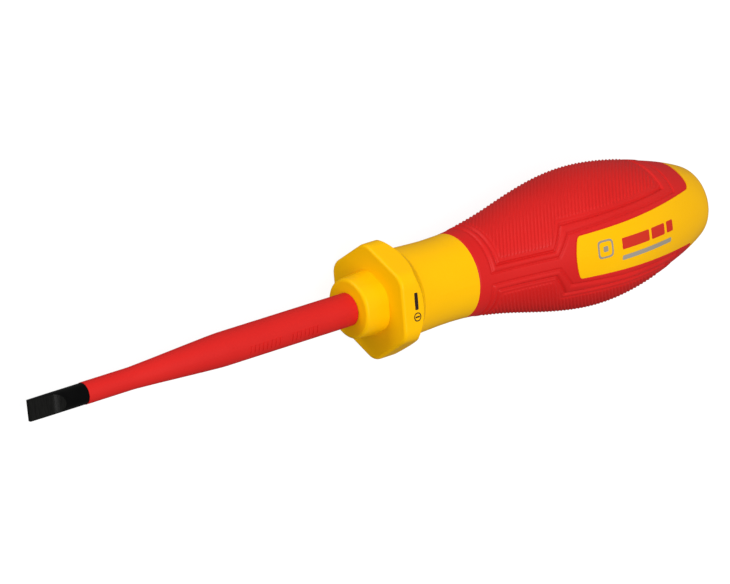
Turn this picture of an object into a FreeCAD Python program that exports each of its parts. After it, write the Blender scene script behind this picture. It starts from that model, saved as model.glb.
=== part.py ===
# Insulated slotted screwdriver: steel blade, moulded sleeve, hard core, hard shell and soft grip.
# Millimetres. The origin is the centre of the blade's end face. +X runs along the shaft to the butt,
# and +Z points out of one of the two smooth windows in the grip.
import FreeCAD, Part
import math
import os

from FreeCAD import Vector

# Blade: a round bar with a ground tip, a thinner stretch under the sleeve and a locking wing in the core
BLADE_RADIUS = 2.75
TIP_THICKNESS = 1.0
TIP_LAND_LENGTH = 4.9
TIP_LAND_HALF_HEIGHT = 0.8
TIP_HOLLOW_X = 7.8
TIP_HOLLOW_HALF_HEIGHT = 1.45
TIP_RUNOUT_X = 9.6
TIP_RUNOUT_MARGIN = 0.1
NECKED_RADIUS = 1.9
NECKED_END_X = 32.6
FULL_BAR_X = 41.6
BLADE_END_X = 173.6
BLADE_END_CHAMFER = 1.0
WING_START_X = 149.6
WING_LENGTH = 14.0
WING_SPAN = 9.0
WING_THICKNESS = 2.2
WING_CORNER_RADIUS = 1.5

# Sleeve: thin over the neck of the blade, then a soft taper, the straight wall and a thinner rear end
SLEEVE_START_X = 16.4
SLEEVE_FRONT_RADIUS = 2.85
SLEEVE_TAPER_START_X = 30.4
SLEEVE_TAPER_END_X = 59.8
SLEEVE_TAPER_BLEND = 3.3
SLEEVE_RADIUS = 4.42
SLEEVE_WALL_END_X = 101.0
SLEEVE_REAR_RADIUS = 3.9
SLEEVE_END_X = 125.6

# Handle nose: nearly round in front, six-sided at the collar
NOSE_FRONT_X = 101.2
NOSE_FRONT_ACROSS = 15.9
NOSE_FRONT_CORNER_RADIUS = 7.5
NOSE_BASE_ACROSS = 16.7
NOSE_BASE_CORNER_RADIUS = 5.2
NOSE_EDGE_RADIUS = 0.9
NOSE_ROOT = 2.0

# Hexagonal collar with a turned shoulder behind it
COLLAR_FRONT_X = 108.2
COLLAR_ACROSS_FLATS = 28.2
COLLAR_CORNER_RADIUS = 4.6
COLLAR_EDGE_RADIUS = 0.9
COLLAR_OUTER_RADIUS = 16.2
COLLAR_SHOULDER_POLES = [(111.9, 16.2), (114.9, 15.4), (115.3, 12.4), (118.4, 11.6)]

# Handle outline from the collar to the butt: distance from the tip, radius, slope
HANDLE_STATIONS = [
    (116.6, 11.98, -0.08),
    (131.6, 11.36, 0.0),
    (157.6, 14.93, 0.235),
    (183.1, 18.93, 0.0),
    (206.6, 15.40, -0.26),
    (220.6, 10.80, -0.46),
]
BUTT_EDGE_X = 222.9
BUTT_EDGE_RADIUS = 9.742
BUTT_END_X = 224.6
BUTT_FLAT_RADIUS = 7.2

# Soft grip and its windows
GRIP_FRONT_X = 136.6
GRIP_REAR_X = 214.2
GRIP_THICKNESS = 2.2
WINDOW_FRONT_X = 166.3
WINDOW_CORNER_X = 167.8
WINDOW_FRONT_HALF_WIDTH = 5.85
WINDOW_REAR_HALF_WIDTH = 7.6
WINDOW_CORNER_RADIUS = 1.2
LOBE_CORNER_RADIUS = 2.0

# Hard core
CORE_FRONT_X = 113.6
CORE_REAR_X = 207.6
SHELL_THICKNESS = 2.6

# Gap left between moulded layers, so that neighbours touch without overlapping
LAYER_GAP = 0.03

# How far a cutting block reaches past what it cuts, and half the width of blocks larger than the handle
OVERSHOOT = 1.0
REACH = 40.0

# How near to a plane an edge in it must lie, and how upright an upright edge is
SAME_PLANE = 0.0001
UPRIGHT = 0.99

X_AXIS = Vector(1, 0, 0)
ORIGIN = Vector(0, 0, 0)


def at(x, radius):
    """A point of an outline in the XZ plane."""
    return Vector(x, 0, radius)


def line(start, end):
    return Part.LineSegment(at(*start), at(*end)).toShape()


def bezier(*points):
    curve = Part.BezierCurve()
    curve.setPoles([at(x, r) for x, r in points])
    return curve.toShape()


def polyline(*points):
    return [line(a, b) for a, b in zip(points[:-1], points[1:])]


def revolve(edges):
    """Turn a closed outline above the X axis into a solid."""
    wire = Part.Wire(Part.__sortEdges__(edges))
    solid = Part.Face(wire).revolve(ORIGIN, X_AXIS, 360)
    return solid if solid.ShapeType == "Solid" else Part.Solid(solid)


def rod(x_1, x_2, radius):
    return Part.makeCylinder(radius, x_2 - x_1, at(x_1, 0), X_AXIS)


def slab(x_1, x_2):
    """A block that keeps everything between two planes across the axis."""
    return Part.makeBox(x_2 - x_1, 2 * REACH, 2 * REACH, Vector(x_1, -REACH, -REACH))


def hexagon_outline(x, across_flats, corner_radius):
    """A hexagon with rounded corners, square to the axis, with one flat facing +Z."""
    centre_distance = (across_flats / 2.0 - corner_radius) / math.cos(math.radians(30.0))
    edges = []
    last_point = None
    first_point = None
    for index in range(6):
        middle = math.radians(60.0 * index)
        centre = Vector(x, centre_distance * math.cos(middle), centre_distance * math.sin(middle))
        points = []
        for turn in (-30.0, 0.0, 30.0):
            angle = middle + math.radians(turn)
            points.append(centre + Vector(0, math.cos(angle), math.sin(angle)) * corner_radius)
        if last_point is not None:
            edges.append(Part.LineSegment(last_point, points[0]).toShape())
        else:
            first_point = points[0]
        edges.append(Part.Arc(*points).toShape())
        last_point = points[2]
    edges.append(Part.LineSegment(last_point, first_point).toShape())
    return Part.Wire(edges)


def edges_at(shape, x):
    """The edges that lie in the plane across the axis at x."""
    return [e for e in shape.Edges if max(abs(e.BoundBox.XMax - x), abs(e.BoundBox.XMin - x)) < SAME_PLANE]


def span(start, end, inset):
    """One stretch of the handle outline, a cubic with the stations' radii and slopes."""
    x_1, r_1, slope_1 = start
    x_2, r_2, slope_2 = end
    third = (x_2 - x_1) / 3.0
    return bezier(
        (x_1, r_1 - inset),
        (x_1 + third, r_1 - inset + slope_1 * third),
        (x_2 - third, r_2 - inset - slope_2 * third),
        (x_2, r_2 - inset),
    )


def handle_body(inset=0.0):
    """The turned handle from inside the collar to the butt."""
    first_x, first_r, _ = HANDLE_STATIONS[0]
    last_x, last_r, _ = HANDLE_STATIONS[-1]
    end_x = BUTT_END_X - inset
    edges = [span(a, b, inset) for a, b in zip(HANDLE_STATIONS[:-1], HANDLE_STATIONS[1:])]
    edges.append(
        bezier(
            (last_x, last_r - inset),
            (BUTT_EDGE_X, BUTT_EDGE_RADIUS - inset),
            (end_x, BUTT_FLAT_RADIUS - inset),
            (end_x, 0),
        )
    )
    edges += polyline((end_x, 0), (first_x, 0), (first_x, first_r - inset))
    return revolve(edges)


def tip_grinding(side):
    """What is ground away above the tip, as a block across the blade; side is +1 or -1."""
    start = at(0, side * TIP_THICKNESS / 2.0)
    land_end = at(TIP_LAND_LENGTH, side * TIP_LAND_HALF_HEIGHT)
    hollow = at(TIP_HOLLOW_X, side * TIP_HOLLOW_HALF_HEIGHT)
    runout = at(TIP_RUNOUT_X, side * (BLADE_RADIUS + TIP_RUNOUT_MARGIN))
    above = side * (BLADE_RADIUS + OVERSHOOT)
    edges = [
        Part.LineSegment(start, land_end).toShape(),
        Part.Arc(land_end, hollow, runout).toShape(),
        Part.LineSegment(runout, at(TIP_RUNOUT_X, above)).toShape(),
        Part.LineSegment(at(TIP_RUNOUT_X, above), at(0, above)).toShape(),
        Part.LineSegment(at(0, above), start).toShape(),
    ]
    face = Part.Face(Part.Wire(edges))
    half_width = BLADE_RADIUS + OVERSHOOT
    face.translate(Vector(0, -half_width, 0))
    return face.extrude(Vector(0, 2 * half_width, 0))


def locking_wing():
    corner = Vector(WING_START_X, -WING_SPAN / 2, -WING_THICKNESS / 2)
    wing = Part.makeBox(WING_LENGTH, WING_SPAN, WING_THICKNESS, corner)
    upright = [e for e in wing.Edges if abs(e.tangentAt(0).z) > UPRIGHT]
    return wing.makeFillet(WING_CORNER_RADIUS, upright)


def make_blade():
    bar = revolve(
        polyline(
            (0, 0),
            (0, BLADE_RADIUS),
            (SLEEVE_START_X, BLADE_RADIUS),
            (SLEEVE_START_X, NECKED_RADIUS),
            (NECKED_END_X, NECKED_RADIUS),
            (FULL_BAR_X, BLADE_RADIUS),
            (BLADE_END_X - BLADE_END_CHAMFER, BLADE_RADIUS),
            (BLADE_END_X, BLADE_RADIUS - BLADE_END_CHAMFER),
            (BLADE_END_X, 0),
            (0, 0),
        )
    )
    bar = bar.cut(tip_grinding(1)).cut(tip_grinding(-1))
    return bar.fuse(locking_wing()).removeSplitter()


def make_sleeve():
    neck = NECKED_RADIUS + LAYER_GAP
    bore = BLADE_RADIUS + LAYER_GAP
    front_x = SLEEVE_START_X + LAYER_GAP
    taper_start = (SLEEVE_TAPER_START_X, SLEEVE_FRONT_RADIUS)
    edges = polyline((front_x, neck), (front_x, SLEEVE_FRONT_RADIUS), taper_start)
    edges.append(
        bezier(
            taper_start,
            (SLEEVE_TAPER_START_X + SLEEVE_TAPER_BLEND, SLEEVE_FRONT_RADIUS),
            (SLEEVE_TAPER_END_X - SLEEVE_TAPER_BLEND, SLEEVE_RADIUS),
            (SLEEVE_TAPER_END_X, SLEEVE_RADIUS),
        )
    )
    edges += polyline(
        (SLEEVE_TAPER_END_X, SLEEVE_RADIUS),
        (SLEEVE_WALL_END_X, SLEEVE_RADIUS),
        (SLEEVE_WALL_END_X, SLEEVE_REAR_RADIUS),
        (SLEEVE_END_X, SLEEVE_REAR_RADIUS),
        (SLEEVE_END_X, bore),
        (FULL_BAR_X, bore),
        (NECKED_END_X, neck),
        (front_x, neck),
    )
    return revolve(edges)


def make_nose():
    """A tapering hexagonal boss that grows rounder towards its front edge."""
    front = hexagon_outline(NOSE_FRONT_X, NOSE_FRONT_ACROSS, NOSE_FRONT_CORNER_RADIUS)
    base = hexagon_outline(COLLAR_FRONT_X + NOSE_ROOT, NOSE_BASE_ACROSS, NOSE_BASE_CORNER_RADIUS)
    nose = Part.makeLoft([front, base], True, True)
    return nose.makeFillet(NOSE_EDGE_RADIUS, edges_at(nose, NOSE_FRONT_X))


def make_collar():
    rear_x, rear_radius = COLLAR_SHOULDER_POLES[-1]
    outline = hexagon_outline(COLLAR_FRONT_X, COLLAR_ACROSS_FLATS, COLLAR_CORNER_RADIUS)
    bar = Part.Face(outline).extrude(Vector(rear_x - COLLAR_FRONT_X, 0, 0))
    bar = bar.makeFillet(COLLAR_EDGE_RADIUS, edges_at(bar, COLLAR_FRONT_X))
    front_x = COLLAR_FRONT_X - OVERSHOOT
    edges = polyline((rear_x, rear_radius), (rear_x, 0), (front_x, 0), (front_x, COLLAR_OUTER_RADIUS))
    edges.append(line((front_x, COLLAR_OUTER_RADIUS), COLLAR_SHOULDER_POLES[0]))
    edges.append(bezier(*COLLAR_SHOULDER_POLES))
    return bar.common(revolve(edges))


def window_half_width(x):
    share = (x - WINDOW_CORNER_X) / (GRIP_REAR_X - WINDOW_CORNER_X)
    return WINDOW_FRONT_HALF_WIDTH + share * (WINDOW_REAR_HALF_WIDTH - WINDOW_FRONT_HALF_WIDTH)


def window_side(hand):
    """One long side of the window: straight, then flared where the grip's rear corner is rounded."""
    flare_x = GRIP_REAR_X - LOBE_CORNER_RADIUS
    half = window_half_width(flare_x)
    rear_half = half + LOBE_CORNER_RADIUS
    bend = LOBE_CORNER_RADIUS * math.sin(math.radians(45.0))
    middle = Vector(flare_x + bend, hand * (rear_half - bend), 0)
    corner = Vector(WINDOW_CORNER_X, hand * WINDOW_FRONT_HALF_WIDTH, 0)
    flare_start = Vector(flare_x, hand * half, 0)
    flare_end = Vector(GRIP_REAR_X, hand * rear_half, 0)
    rear = Vector(GRIP_REAR_X + OVERSHOOT, hand * rear_half, 0)
    edges = [
        Part.LineSegment(corner, flare_start).toShape(),
        Part.Arc(flare_start, middle, flare_end).toShape(),
        Part.LineSegment(flare_end, rear).toShape(),
    ]
    return corner, edges, rear


def window_block(side):
    """The straight-sided block that makes one window; side is +1 for the top, -1 for the bottom."""
    corner_a, edges_a, rear_a = window_side(-1)
    corner_b, edges_b, rear_b = window_side(1)
    front = Part.Arc(corner_a, Vector(WINDOW_FRONT_X, 0, 0), corner_b).toShape()
    edges = [front] + edges_b + [Part.LineSegment(rear_b, rear_a).toShape()] + edges_a
    wire = Part.Wire(Part.__sortEdges__(edges))
    block = Part.Face(wire).extrude(Vector(0, 0, side * REACH))
    corners = []
    for edge in block.Edges:
        upright = abs(edge.tangentAt(edge.FirstParameter).z) > UPRIGHT
        if upright and edge.BoundBox.XMax < WINDOW_CORNER_X + SAME_PLANE:
            corners.append(edge)
    return block.makeFillet(WINDOW_CORNER_RADIUS, corners)


def grip_ring(gap):
    """The layer of soft plastic with its windows cut; gap thins it on the inside and at both ends."""
    ring = handle_body().common(slab(GRIP_FRONT_X + gap, GRIP_REAR_X - gap))
    ring = ring.cut(handle_body(GRIP_THICKNESS - gap))
    for side in (1, -1):
        ring = ring.cut(window_block(side))
    return ring


def make_core_blank():
    """The core before the blade and the sleeve take their room in it."""
    inset = GRIP_THICKNESS + SHELL_THICKNESS
    first_x, first_r, _ = HANDLE_STATIONS[0]
    core = handle_body(inset).common(slab(first_x, CORE_REAR_X))
    core = core.fuse(rod(CORE_FRONT_X, first_x + OVERSHOOT, first_r - inset))
    return core.removeSplitter()


def make_core(core_blank, blade):
    sleeve_room = rod(CORE_FRONT_X - OVERSHOOT, SLEEVE_END_X + LAYER_GAP, SLEEVE_REAR_RADIUS + LAYER_GAP)
    return core_blank.cut(sleeve_room).cut(blade)


def make_shell(core_blank):
    shell = make_nose().fuse(make_collar()).fuse(handle_body())
    shell = shell.cut(rod(NOSE_FRONT_X - OVERSHOOT, CORE_FRONT_X + OVERSHOOT, SLEEVE_REAR_RADIUS + LAYER_GAP))
    return shell.cut(core_blank).cut(grip_ring(0.0)).removeSplitter()


def write_node(name, shape):
    solids = shape.Solids
    box = shape.BoundBox
    volume = sum(solid.Volume for solid in solids)
    print(name, len(solids), "solid(s)", round(volume, 1), "mm3", shape.isValid(), end=" ")
    print(round(box.XMin, 2), round(box.XMax, 2), round(box.YMax, 2), round(box.ZMin, 2), round(box.ZMax, 2))
    result = solids[0] if len(solids) == 1 else Part.makeCompound(solids)
    result.exportStep("parts/" + name + ".step")


def main():
    os.makedirs("parts", exist_ok=True)
    blade = make_blade()
    core_blank = make_core_blank()
    write_node("blade", blade)
    write_node("blade_insulation", make_sleeve())
    write_node("handle_core", make_core(core_blank, blade))
    write_node("handle_shell", make_shell(core_blank))
    write_node("soft_grip", grip_ring(LAYER_GAP))


main()
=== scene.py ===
"""Looks of the insulated screwdriver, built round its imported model. Metres; shapes are worked out in mm."""
import math

import bpy
import numpy as np
from mathutils import Matrix, Vector


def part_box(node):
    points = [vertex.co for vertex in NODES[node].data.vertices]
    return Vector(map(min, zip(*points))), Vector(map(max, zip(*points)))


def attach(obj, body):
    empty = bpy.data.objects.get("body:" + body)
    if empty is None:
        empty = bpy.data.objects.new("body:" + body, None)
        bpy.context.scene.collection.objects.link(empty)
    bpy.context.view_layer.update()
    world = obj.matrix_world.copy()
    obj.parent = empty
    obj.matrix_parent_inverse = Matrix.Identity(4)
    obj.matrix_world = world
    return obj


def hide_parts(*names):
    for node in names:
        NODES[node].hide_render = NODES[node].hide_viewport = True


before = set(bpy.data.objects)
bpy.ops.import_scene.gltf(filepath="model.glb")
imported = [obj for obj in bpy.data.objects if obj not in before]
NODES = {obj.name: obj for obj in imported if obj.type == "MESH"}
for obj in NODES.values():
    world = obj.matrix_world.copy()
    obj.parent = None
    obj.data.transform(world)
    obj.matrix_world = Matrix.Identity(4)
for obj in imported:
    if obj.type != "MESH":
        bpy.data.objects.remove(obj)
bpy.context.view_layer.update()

MM = 0.001
GRIP_LOW, GRIP_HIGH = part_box("soft_grip")

# Handle outline: distance from the tip, radius and slope, as the hard shell and the grip are moulded
HANDLE_STATIONS = [
    (116.6, 11.98, -0.08),
    (131.6, 11.36, 0.0),
    (157.6, 14.93, 0.235),
    (183.1, 18.93, 0.0),
    (206.6, 15.40, -0.26),
    (220.6, 10.80, -0.46),
]

# Windows in the grip, seen along Z; the grid's points beside their outline are snapped onto it
WINDOW_FRONT = 166.3
WINDOW_CORNER = 167.8
WINDOW_HALF_FRONT = 5.85
WINDOW_HALF_REAR = 7.6
WINDOW_ROUNDING = 1.2
WINDOW_REAR = 214.2
LOBE_ROUNDING = 2.0
WINDOW_BOW_LIMIT = 8.0
LIP_DROP = 0.2
LIP_WIDTH = 0.45
SNAP_STEP = 0.05
SNAP_PASSES = 3
SNAP_OUTSIDE = 0.12
SNAP_INSIDE = 0.45
SNAP_LEAST_SLOPE = 0.05
KEEP_INSIDE = 0.06

# Ribbed panels: their inner and outer borders, seen along Z
FAR = 60.0
INNER_BORDER = [
    (142.9, FAR), (142.9, 3.55), (160.3, 3.55), (164.2, 9.6), (185.6, 10.3), (202.3, 10.6), (202.3, FAR),
]
OUTER_BORDER = [
    (140.9, FAR), (140.9, 1.6), (161.3, 1.6), (165.4, 7.1), (182.6, 8.3), (206.6, 8.6), (206.6, FAR),
]
GROOVE_DEPTH = 0.5
OUTER_GROOVE_DEPTH = 0.375
GROOVE_WIDTH = 0.27
BEAD_HEIGHT = 0.16
BEAD_START = 0.2
BEAD_FULL = 0.9
RIM_BEAD_HEIGHT = 0.096
RIM_BEAD_PLACE = 0.65
RIM_BEAD_WIDTH = 0.25
RIB_PITCH = 1.25
RIB_LEAN = 0.92
RIB_DEPTH = 0.28
RIB_SHARPNESS = 1.4
RIM_WIDTH = 1.15
RIM_SLOPE = 0.5
PANEL_RISE = 0.3

# The grip's wall at each end, and the spacing of the points of its skin
END_WALL = 1.6
ROW_STEP = 0.24
COLUMNS = 500


def smooth_step(value, low, high):
    """0 below low, 1 above high and a smooth rise between."""
    t = np.clip((value - low) / (high - low), 0.0, 1.0)
    return t * t * (3.0 - 2.0 * t)


def handle_radius(x):
    """Radius of the turned handle at distance x from the tip."""
    x = np.asarray(x, float)
    radius = np.full(x.shape, HANDLE_STATIONS[0][1])
    for (x_1, r_1, m_1), (x_2, r_2, m_2) in zip(HANDLE_STATIONS[:-1], HANDLE_STATIONS[1:]):
        t = (x - x_1) / (x_2 - x_1)
        span = x_2 - x_1
        cubic = (
            (2 * t**3 - 3 * t**2 + 1) * r_1
            + (t**3 - 2 * t**2 + t) * span * m_1
            + (3 * t**2 - 2 * t**3) * r_2
            + (t**3 - t**2) * span * m_2
        )
        radius = np.where((x >= x_1) & (x <= x_2), cubic, radius)
    return radius


def window_distance(x, across):
    """Distance from the window's outline in the view along Z: above 0 on the grip. across is |y|."""
    slope = (WINDOW_HALF_REAR - WINDOW_HALF_FRONT) / (WINDOW_REAR - WINDOW_CORNER)
    side = across - (WINDOW_HALF_FRONT + slope * (x - WINDOW_CORNER))
    bow = (WINDOW_CORNER - WINDOW_FRONT) * (np.minimum(across, WINDOW_BOW_LIMIT) / WINDOW_HALF_FRONT) ** 2
    front = WINDOW_FRONT + bow - x
    a = np.maximum(side + WINDOW_ROUNDING, 0.0)
    b = np.maximum(front + WINDOW_ROUNDING, 0.0)
    inside = np.minimum(np.maximum(side, front) + WINDOW_ROUNDING, 0.0)
    edge = inside + np.hypot(a, b) - WINDOW_ROUNDING
    rear = WINDOW_REAR - x
    short_a = np.maximum(LOBE_ROUNDING - edge, 0.0)
    short_b = np.maximum(LOBE_ROUNDING - rear, 0.0)
    nearest = np.minimum(edge, rear)
    return np.where(nearest > LOBE_ROUNDING, nearest, LOBE_ROUNDING - np.hypot(short_a, short_b))


def border_distance(x, across, border):
    """Distance from a panel's border: above 0 inside the panel."""
    nearest = np.full(x.shape, np.inf)
    inside = np.zeros(x.shape, bool)
    for (x_1, y_1), (x_2, y_2) in zip(border, border[1:] + border[:1]):
        dx, dy = x_2 - x_1, y_2 - y_1
        if y_1 < FAR or y_2 < FAR:
            t = np.clip(((x - x_1) * dx + (across - y_1) * dy) / (dx * dx + dy * dy), 0.0, 1.0)
            nearest = np.minimum(nearest, np.hypot(x - x_1 - t * dx, across - y_1 - t * dy))
        if x_1 != x_2:
            crosses = (x_1 <= x) != (x_2 <= x)
            at = y_1 + (x - x_1) * dy / dx
            inside ^= crosses & (at > across)
    return np.where(inside, nearest, -nearest)


def groove(distance, width):
    """A rounded profile: 1 on the line, and fading within about a width of it."""
    return np.exp(-((distance / width) ** 2))


def grip_relief(x, angle):
    """Height of the grip above the turned outline: grooves, bead, rim, ribs and rounded window lips."""
    radius = handle_radius(x)
    across = np.abs(radius * np.sin(angle))
    inner = border_distance(x, across, INNER_BORDER)
    outer = border_distance(x, across, OUTER_BORDER)
    height = -GROOVE_DEPTH * groove(inner, GROOVE_WIDTH)
    height -= OUTER_GROOVE_DEPTH * groove(outer, GROOVE_WIDTH)
    between = smooth_step(outer, BEAD_START, BEAD_FULL) * smooth_step(-inner, BEAD_START, BEAD_FULL)
    height += BEAD_HEIGHT * between
    height += RIM_BEAD_HEIGHT * groove(inner - RIM_BEAD_PLACE, RIM_BEAD_WIDTH)
    phase = (x + RIB_LEAN * radius * np.cos(angle)) / RIB_PITCH
    valley = 0.5 + 0.5 * np.cos(2.0 * math.pi * phase)
    ribs = PANEL_RISE - RIB_DEPTH * valley**RIB_SHARPNESS
    height += ribs * smooth_step(inner, RIM_WIDTH, RIM_WIDTH + RIM_SLOPE)
    edge = np.minimum(window_distance(x, across), x - GRIP_LOW.x / MM)
    height -= LIP_DROP * (1.0 - smooth_step(edge, 0.0, LIP_WIDTH))
    return height


def mesh_object(name, points, faces, material, smooth=True):
    mesh = bpy.data.meshes.new(name)
    mesh.from_pydata(points, [], faces)
    mesh.update()
    if smooth:
        mesh.shade_smooth()
    mesh.materials.append(material)
    obj = bpy.data.objects.new(name, mesh)
    bpy.context.scene.collection.objects.link(obj)
    return obj


def snap_to_window(x, angle):
    """Moves grid points beside the window's outline onto it, and says which points are kept."""
    step = SNAP_STEP
    for _ in range(SNAP_PASSES):
        radius = handle_radius(x)
        distance = window_distance(x, np.abs(radius * np.sin(angle)))
        d_x = window_distance(x + step, np.abs(handle_radius(x + step) * np.sin(angle))) - distance
        turned = angle + step / radius
        d_a = window_distance(x, np.abs(radius * np.sin(turned))) - distance
        d_x, d_a = d_x / step, d_a / step
        size = np.maximum(d_x**2 + d_a**2, SNAP_LEAST_SLOPE)
        near = (distance < SNAP_OUTSIDE) & (distance > -SNAP_INSIDE)
        x = np.where(near, x - distance * d_x / size, x)
        angle = np.where(near, angle - distance * d_a / size / radius, angle)
    kept = distance > -KEEP_INSIDE
    return x, angle, kept


def make_grip(material):
    """The grip's skin: a grid wrapped round the handle, open at the windows and turned in at both ends."""
    low, high = GRIP_LOW.x / MM, GRIP_HIGH.x / MM
    rows = int(round((high - low) / ROW_STEP)) + 1
    x, angle = np.meshgrid(
        np.linspace(low, high, rows), np.arange(COLUMNS) * 2.0 * math.pi / COLUMNS, indexing="ij"
    )
    x_new, angle, kept = snap_to_window(x, angle)
    x_new = np.clip(x_new, low, high)
    radius = handle_radius(x_new) + grip_relief(x_new, angle)
    x_new = np.concatenate([x_new[:1], x_new, x_new[-1:]])
    angle = np.concatenate([angle[:1], angle, angle[-1:]])
    kept = np.concatenate([kept[:1], kept, kept[-1:]])
    radius = np.concatenate([radius[:1] - END_WALL, radius, radius[-1:] - END_WALL])
    rows += 2
    points = np.stack([x_new, radius * np.sin(angle), radius * np.cos(angle)], -1) * MM
    index = np.arange(rows * COLUMNS).reshape(rows, COLUMNS)
    right = np.roll(index, -1, axis=1)
    quads = np.stack([index[:-1], right[:-1], right[1:], index[1:]], -1).reshape(-1, 4)
    quads = quads[kept.reshape(-1)[quads].all(1)]
    used, flat = np.unique(quads, return_inverse=True)
    kept_points = points.reshape(-1, 3)[used].tolist()
    return mesh_object("grip_skin", kept_points, flat.reshape(-1, 4).tolist(), material)


# Materials. Colours are linear; scales are cycles per metre and depths are metres.
PLASTIC_SHINE = 0.2
SHELL_SHINE = 0.08
DRIFT_SCALE = 45.0
DRIFT_DETAIL = 2.0
DRIFT_LOW = 0.3
DRIFT_HIGH = 0.7
GLOSS_SCALE = 160.0
GLOSS_DETAIL = 4.0
GRAIN_DETAIL = 2.0
GRAIN_STRENGTH = 0.25

BAR_RADIUS = 2.75
GROUND_STARTS = 0.02
GROUND_FULL = 0.1
BURNISHED_DARK = (0.0008, 0.0008, 0.0008)
BURNISHED_LIGHT = (0.002, 0.002, 0.002)
GROUND_DARK = (0.0045, 0.0045, 0.0042)
GROUND_LIGHT = (0.011, 0.011, 0.0102)
STEEL_LOW = 0.3
STEEL_HIGH = 0.75
STEEL_ROUGHNESS = (0.14, 0.22)
STEEL_SHINE = 0.06
CLOUD_SCALE = 300.0
CLOUD_DETAIL = 3.0
LINE_SCALE = 6000.0
LINE_DETAIL = 3.0
LINE_STRETCH = 0.06
LINE_STRENGTH = 0.15
LINE_DEPTH = 0.00004

# Places of the colour sockets among those of a Mix node
MIX_COLOUR_A = 6
MIX_COLOUR_B = 7
MIX_COLOUR_RESULT = 2

FLOOR_GREY = (0.14, 0.14, 0.14)
FLOOR_GLOW = 0.93
FLOOR_ROUGHNESS = 0.9
FLOOR_SHINE = 0.1


def new_material(name):
    material = bpy.data.materials.new(name)
    material.use_nodes = True
    tree = material.node_tree
    shader = tree.nodes["Principled BSDF"]
    return material, tree, shader


def add(tree, kind, **values):
    """A new node with some of its inputs set."""
    node = tree.nodes.new(kind)
    for key, value in values.items():
        node.inputs[key].default_value = value
    return node


def object_noise(tree, scale, detail):
    place = add(tree, "ShaderNodeTexCoord")
    noise = add(tree, "ShaderNodeTexNoise", Scale=scale, Detail=detail)
    tree.links.new(place.outputs["Object"], noise.inputs["Vector"])
    return noise


def ramp(tree, source, low, dark, high, light):
    """A colour between dark, at the level low of the source, and light, at the level high."""
    node = add(tree, "ShaderNodeValToRGB")
    first, last = node.color_ramp.elements
    first.position, first.color = low, (*dark, 1)
    last.position, last.color = high, (*light, 1)
    tree.links.new(source, node.inputs["Fac"])
    return node


def span_value(tree, source, low, high):
    """A value that runs from low to high as the source runs from 0 to 1."""
    node = add(tree, "ShaderNodeMapRange")
    node.inputs["To Min"].default_value = low
    node.inputs["To Max"].default_value = high
    tree.links.new(source, node.inputs["Value"])
    return node


def bump(tree, shader, source, strength, distance):
    node = add(tree, "ShaderNodeBump", Strength=strength, Distance=distance)
    tree.links.new(source, node.inputs["Height"])
    tree.links.new(node.outputs["Normal"], shader.inputs["Normal"])
    return node


def moulded_plastic(name, light, dark, rough, grain, grain_depth, shine=PLASTIC_SHINE):
    """Moulded plastic: slight colour drift, uneven gloss and a fine eroded grain."""
    material, tree, shader = new_material(name)
    drift = object_noise(tree, DRIFT_SCALE, DRIFT_DETAIL)
    colour = ramp(tree, drift.outputs["Fac"], DRIFT_LOW, dark, DRIFT_HIGH, light)
    tree.links.new(colour.outputs["Color"], shader.inputs["Base Color"])
    gloss = object_noise(tree, GLOSS_SCALE, GLOSS_DETAIL)
    roughness = span_value(tree, gloss.outputs["Fac"], *rough)
    tree.links.new(roughness.outputs["Result"], shader.inputs["Roughness"])
    fine = object_noise(tree, grain, GRAIN_DETAIL)
    bump(tree, shader, fine.outputs["Fac"], GRAIN_STRENGTH, grain_depth)
    shader.inputs["Specular IOR Level"].default_value = shine
    return material


def distance_from_axis(tree, place):
    """How far a point is from the shaft's axis, whatever its distance from the tip."""
    split = add(tree, "ShaderNodeSeparateXYZ")
    tree.links.new(place.outputs["Object"], split.inputs["Vector"])
    across = add(tree, "ShaderNodeCombineXYZ")
    tree.links.new(split.outputs["Y"], across.inputs["Y"])
    tree.links.new(split.outputs["Z"], across.inputs["Z"])
    reach = add(tree, "ShaderNodeVectorMath")
    reach.operation = "LENGTH"
    tree.links.new(across.outputs["Vector"], reach.inputs[0])
    return reach


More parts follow.
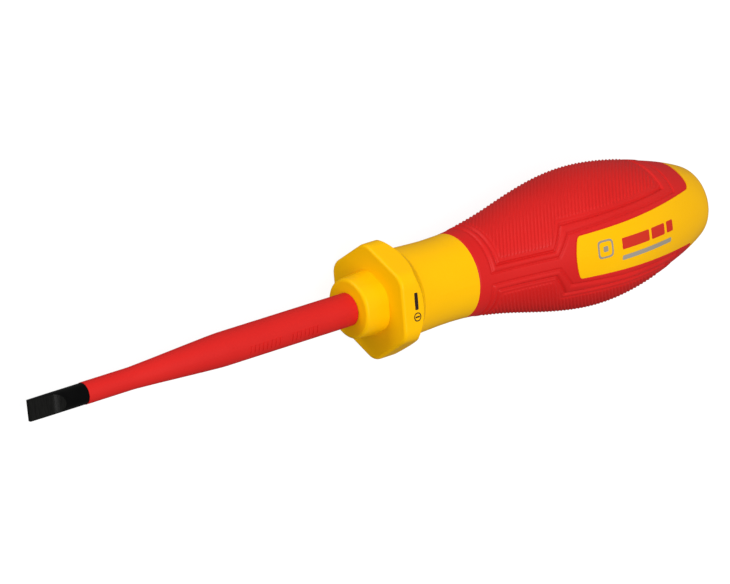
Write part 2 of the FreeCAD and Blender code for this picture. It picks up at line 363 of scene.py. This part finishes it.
def black_steel():
    """Burnished black steel; the ground faces inside the bar's round are a shade lighter."""
    material, tree, shader = new_material("black_steel")
    place = add(tree, "ShaderNodeTexCoord")
    stretch = add(tree, "ShaderNodeMapping")
    stretch.inputs["Scale"].default_value = (1.0, LINE_STRETCH, 1.0)
    tree.links.new(place.outputs["Object"], stretch.inputs["Vector"])
    lines = add(tree, "ShaderNodeTexNoise", Scale=LINE_SCALE, Detail=LINE_DETAIL)
    tree.links.new(stretch.outputs["Vector"], lines.inputs["Vector"])
    cloud = object_noise(tree, CLOUD_SCALE, CLOUD_DETAIL)
    dark = ramp(tree, cloud.outputs["Fac"], STEEL_LOW, BURNISHED_DARK, STEEL_HIGH, BURNISHED_LIGHT)
    bare = ramp(tree, lines.outputs["Fac"], STEEL_LOW, GROUND_DARK, STEEL_HIGH, GROUND_LIGHT)
    reach = distance_from_axis(tree, place)
    ground = add(tree, "ShaderNodeMapRange")
    ground.inputs["From Min"].default_value = (BAR_RADIUS - GROUND_STARTS) * MM
    ground.inputs["From Max"].default_value = (BAR_RADIUS - GROUND_FULL) * MM
    tree.links.new(reach.outputs["Value"], ground.inputs["Value"])
    colour = add(tree, "ShaderNodeMix")
    colour.data_type = "RGBA"
    tree.links.new(ground.outputs["Result"], colour.inputs["Factor"])
    tree.links.new(dark.outputs["Color"], colour.inputs[MIX_COLOUR_A])
    tree.links.new(bare.outputs["Color"], colour.inputs[MIX_COLOUR_B])
    tree.links.new(colour.outputs[MIX_COLOUR_RESULT], shader.inputs["Base Color"])
    rough = span_value(tree, lines.outputs["Fac"], *STEEL_ROUGHNESS)
    tree.links.new(rough.outputs["Result"], shader.inputs["Roughness"])
    shader.inputs["Specular IOR Level"].default_value = STEEL_SHINE
    bump(tree, shader, lines.outputs["Fac"], LINE_STRENGTH, LINE_DEPTH)
    return material


def floor_material():
    """A plain pale floor that glows a little, so that it stays even."""
    material, _, shader = new_material("studio_floor")
    shader.inputs["Base Color"].default_value = (*FLOOR_GREY, 1)
    shader.inputs["Emission Color"].default_value = (1, 1, 1, 1)
    shader.inputs["Emission Strength"].default_value = FLOOR_GLOW
    shader.inputs["Roughness"].default_value = FLOOR_ROUGHNESS
    shader.inputs["Specular IOR Level"].default_value = FLOOR_SHINE
    return material


def printed_ink(name, light, dark):
    return moulded_plastic(name, light, dark, rough=(0.5, 0.6), grain=2000.0, grain_depth=0.00001)


red_grip = moulded_plastic(
    "red_grip",
    light=(0.69, 0.013, 0.011),
    dark=(0.63, 0.010, 0.009),
    rough=(0.40, 0.52),
    grain=2600.0,
    grain_depth=0.00003,
)
red_sleeve = moulded_plastic(
    "red_sleeve",
    light=(0.68, 0.014, 0.011),
    dark=(0.63, 0.011, 0.009),
    rough=(0.5, 0.6),
    grain=900.0,
    grain_depth=0.00001,
)
yellow_shell = moulded_plastic(
    "yellow_shell",
    light=(1.0, 0.53, 0.001),
    dark=(0.97, 0.50, 0.0005),
    rough=(0.28, 0.38),
    grain=1800.0,
    grain_depth=0.00002,
    shine=SHELL_SHINE,
)
dark_core = moulded_plastic(
    "dark_core",
    light=(0.05, 0.05, 0.05),
    dark=(0.03, 0.03, 0.03),
    rough=(0.5, 0.6),
    grain=1500.0,
    grain_depth=0.00003,
)
grey_ink = printed_ink("grey_ink", light=(0.36, 0.33, 0.27), dark=(0.30, 0.27, 0.21))
red_ink = printed_ink("red_ink", light=(0.66, 0.03, 0.012), dark=(0.58, 0.02, 0.01))
black_ink = printed_ink("black_ink", light=(0.03, 0.012, 0.008), dark=(0.02, 0.008, 0.006))
steel = black_steel()


def dress(node, material):
    """Gives a CAD node one material."""
    obj = NODES[node]
    obj.data.materials.clear()
    obj.data.materials.append(material)
    for polygon in obj.data.polygons:
        polygon.material_index = 0


dress("blade", steel)
dress("blade_insulation", red_sleeve)
dress("handle_core", dark_core)
dress("handle_shell", yellow_shell)

grip = make_grip(red_grip)
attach(grip, "root")
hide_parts("soft_grip")


# Printed and raised marks: plain bars and simple shapes, each a thin closed piece following its surface
MARK_LIFT = 0.03
MARK_SINK = 0.05
COLLAR_FLAT = 14.1
SLEEVE_RADIUS = 4.42
SLEEVE_MARK_TURN = math.radians(-16.0)
BAR_ROWS = 33
BAR_COLUMNS = 7
RING_STEPS = 64
RING_COLUMNS = 3


def window_point(x, y, lift):
    radius = handle_radius(x) + lift
    return np.stack([x, y, np.sqrt(radius**2 - y**2)], -1)


def collar_point(x, y, lift):
    return np.stack([x, y, np.full_like(x, COLLAR_FLAT) + lift], -1)


def sleeve_point(x, y, lift):
    radius = SLEEVE_RADIUS + lift
    turn = SLEEVE_MARK_TURN + y / SLEEVE_RADIUS
    return np.stack([x, radius * np.sin(turn), radius * np.cos(turn)], -1)


def bar_grid(x, y, length, height, rounding):
    """Points of a bar with rounded corners, centred on (x, y)."""
    across = np.linspace(-1.0, 1.0, BAR_COLUMNS)
    along = np.sin(np.linspace(-0.5, 0.5, BAR_ROWS) * math.pi) * length / 2.0
    short = np.clip(np.abs(along) - (length / 2.0 - rounding), 0.0, rounding)
    half = height / 2.0 - rounding + np.sqrt(rounding**2 - short**2)
    grid_y = half[:, None] * across[None, :]
    grid_x = np.repeat(along[:, None], BAR_COLUMNS, 1)
    return grid_x + x, grid_y + y, False


def frame_grid(x, y, outer, inner, squareness):
    """Points of a closed ring; squareness 2 is a circle and more is a rounded square."""
    angle = np.arange(RING_STEPS) * 2.0 * math.pi / RING_STEPS
    powers = np.abs(np.cos(angle)) ** squareness + np.abs(np.sin(angle)) ** squareness
    shape = powers ** (-1.0 / squareness)
    radius = shape[:, None] * np.linspace(inner, outer, RING_COLUMNS)[None, :]
    return x + radius * np.cos(angle)[:, None], y + radius * np.sin(angle)[:, None], True


def wall_faces(starts, ends, count):
    """Side faces from an edge of the top down to the bottom, whose points come count places later."""
    return [(a, b, b + count, a + count) for a, b in zip(starts, ends)]


def mark_shell(grid, surface, lift):
    """Points and faces of a thin closed plate that follows the surface."""
    x, y, closed = grid
    top = surface(x, y, lift)
    bottom = surface(x, y, -MARK_SINK)
    points = np.concatenate([top.reshape(-1, 3), bottom.reshape(-1, 3)])
    rows, columns = x.shape
    count = rows * columns
    index = np.arange(count).reshape(rows, columns)
    if closed:
        index = np.concatenate([index, index[:1]])
    corners = (index[:-1, :-1], index[1:, :-1], index[1:, 1:], index[:-1, 1:])
    faces = []
    for a, b, c, d in zip(*(corner.ravel().tolist() for corner in corners)):
        faces.append((a, b, c, d))
        faces.append((d + count, c + count, b + count, a + count))
    faces += wall_faces(index[1:, 0].tolist(), index[:-1, 0].tolist(), count)
    faces += wall_faces(index[:-1, -1].tolist(), index[1:, -1].tolist(), count)
    if not closed:
        faces += wall_faces(index[0, :-1].tolist(), index[0, 1:].tolist(), count)
        faces += wall_faces(index[-1, 1:].tolist(), index[-1, :-1].tolist(), count)
    return points, faces


def add_mark(name, grids, surface, material, lift=MARK_LIFT, flip=False):
    """One mark of one or more plates; flip puts it on the opposite side of the tool."""
    points = np.empty((0, 3))
    faces = []
    for grid in grids:
        shell_points, shell_faces = mark_shell(grid, surface, lift)
        start = len(points)
        points = np.concatenate([points, shell_points])
        faces += [tuple(corner + start for corner in face) for face in shell_faces]
    if flip:
        points = points * np.array([1.0, -1.0, -1.0])
    obj = mesh_object(name, (points * MM).tolist(), faces, material, smooth=False)
    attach(obj, "root")
    return obj


# Bars: x and y of the centre, length, height, rounding. Rings: x and y, outer and inner radius, squareness.
WINDOW_MARKS = [
    ("window_frame_mark", frame_grid(175.4, 0.9, 2.5, 2.0, 5.0), "grey"),
    ("window_square_mark", bar_grid(175.4, 0.9, 1.5, 1.5, 0.3), "grey"),
    ("window_long_bar", bar_grid(186.2, 1.0, 10.4, 3.1, 0.35), "red"),
    ("window_middle_bar", bar_grid(195.2, 1.0, 5.6, 3.1, 0.35), "red"),
    ("window_short_bar", bar_grid(200.4, 1.0, 2.8, 3.1, 0.35), "red"),
    ("window_thin_bar", bar_grid(191.0, -2.9, 20.0, 1.3, 0.3), "grey"),
]
COLLAR_MARKS = [
    ("collar_slot_ring", frame_grid(112.6, -2.6, 1.2, 0.92, 2.0)),
    ("collar_slot_line", bar_grid(112.6, -2.6, 1.5, 0.4, 0.1)),
    ("collar_bar", bar_grid(112.6, 1.6, 1.1, 4.6, 0.25)),
]
# Rows of raised ticks on the sleeve: x of the first, and how many
SLEEVE_TICKS = [(66.0, 8), (79.6, 7)]
TICK_PITCH = 1.35
TICK_SIZE = (0.6, 2.4, 0.2)
TICK_LIFT = 0.14
INKS = {"grey": grey_ink, "red": red_ink}
for mark_name, mark_grid, ink in WINDOW_MARKS:
    add_mark(mark_name + "_a", [mark_grid], window_point, INKS[ink])
    add_mark(mark_name + "_b", [mark_grid], window_point, INKS[ink], flip=True)
for mark_name, mark_grid in COLLAR_MARKS:
    add_mark(mark_name, [mark_grid], collar_point, black_ink)
for number, (first_x, count) in enumerate(SLEEVE_TICKS, 1):
    ticks = [bar_grid(first_x + TICK_PITCH * step, 0.0, *TICK_SIZE) for step in range(count)]
    add_mark(f"sleeve_raised_ticks_{number}", ticks, sleeve_point, red_sleeve, TICK_LIFT)


# Floor: the plane that the belly of the handle and the front edge of the collar's flat rest on
BELLY_X, BELLY_RADIUS, _ = max(HANDLE_STATIONS, key=lambda station: station[1])
COLLAR_EDGE_X = 109.4
FLOOR_GAP = 0.4
FLOOR_HALF = 6000.0


def make_floor():
    belly = Vector((BELLY_X, 0, -BELLY_RADIUS))
    collar = Vector((COLLAR_EDGE_X, 0, -COLLAR_FLAT))
    along = (belly - collar).normalized()
    up = Vector((-along.z, 0, along.x))
    side = Vector((0, 1, 0))
    centre = belly - up * FLOOR_GAP
    corners = [
        (centre + (along * a + side * b) * FLOOR_HALF) * MM
        for a, b in ((-1, -1), (1, -1), (1, 1), (-1, 1))
    ]
    obj = mesh_object("floor", corners, [(0, 1, 2, 3)], floor_material(), smooth=False)
    obj.visible_diffuse = False
    obj.visible_glossy = False
    obj.visible_shadow = False


make_floor()


# Camera: angles in degrees, the lens and sensor in mm, the rest in metres
AIM = Vector((0.1081, 0.0027, -0.0010))
CAMERA_AZIMUTH = -114.88
CAMERA_ELEVATION = 48.68
CAMERA_ROLL = 104.14
CAMERA_DISTANCE = 1.0356
FOCAL_LENGTH = 197.3
SENSOR_WIDTH = 36.0
NEAREST = 0.01
FARTHEST = 50.0


def make_camera():
    azimuth, elevation = math.radians(CAMERA_AZIMUTH), math.radians(CAMERA_ELEVATION)
    back = Vector(
        (
            math.sin(azimuth) * math.cos(elevation),
            -math.cos(azimuth) * math.cos(elevation),
            math.sin(elevation),
        )
    )
    data = bpy.data.cameras.new("camera")
    data.lens = FOCAL_LENGTH
    data.sensor_width = SENSOR_WIDTH
    data.clip_start, data.clip_end = NEAREST, FARTHEST
    camera = bpy.data.objects.new("camera", data)
    turn = back.to_track_quat("Z", "Y").to_matrix().to_4x4()
    roll = Matrix.Rotation(math.radians(CAMERA_ROLL), 4, "Z")
    camera.matrix_world = Matrix.Translation(AIM + back * CAMERA_DISTANCE) @ turn @ roll
    bpy.context.scene.collection.objects.link(camera)
    bpy.context.scene.camera = camera
    return camera


# Lights: places are metres from AIM to the right, up and towards the camera; sizes in metres, power in watts
KEY_PLACE = (-0.8, 0.85, 0.65)
KEY_SIZE = (0.9, 0.8)
KEY_POWER = 8.0
FRONT_PLACE = (0.45, -0.16, 1.0)
FRONT_SIZE = (0.9, 0.5)
FRONT_POWER = 8.2
SOFT_DIRECTION = (-0.1, 0.45, 0.88)
SOFT_LOW = 0.04
SOFT_HIGH = 0.6


def area_light(name, camera, place, size, power):
    """A rectangular light placed from the camera's view and turned to face AIM."""
    data = bpy.data.lights.new(name, "AREA")
    data.shape = "RECTANGLE"
    data.size, data.size_y = size
    data.energy = power
    offset = camera.matrix_world.to_3x3() @ Vector(place)
    turn = (-offset).to_track_quat("-Z", "Y").to_matrix().to_4x4()
    light = bpy.data.objects.new(name, data)
    light.matrix_world = Matrix.Translation(AIM + offset) @ turn
    bpy.context.scene.collection.objects.link(light)


def studio_world():
    """A soft surround: brightest above the far side, dimmer low on the near side."""
    world = bpy.data.worlds.new("studio")
    world.use_nodes = True
    tree = world.node_tree
    place = tree.nodes.new("ShaderNodeTexCoord")
    facing = tree.nodes.new("ShaderNodeVectorMath")
    facing.operation = "DOT_PRODUCT"
    facing.inputs[1].default_value = SOFT_DIRECTION
    level = tree.nodes.new("ShaderNodeMapRange")
    level.inputs["From Min"].default_value = -1.0
    level.inputs["To Min"].default_value = SOFT_LOW
    level.inputs["To Max"].default_value = SOFT_HIGH
    tree.links.new(place.outputs["Generated"], facing.inputs[0])
    tree.links.new(facing.outputs["Value"], level.inputs["Value"])
    tree.links.new(level.outputs["Result"], tree.nodes["Background"].inputs["Strength"])
    tree.nodes["Background"].inputs["Color"].default_value = (1, 1, 1, 1)
    bpy.context.scene.world = world


main_camera = make_camera()
area_light("key", main_camera, KEY_PLACE, KEY_SIZE, KEY_POWER)
area_light("front", main_camera, FRONT_PLACE, FRONT_SIZE, FRONT_POWER)
studio_world()
bpy.context.scene.view_settings.view_transform = "Standard"
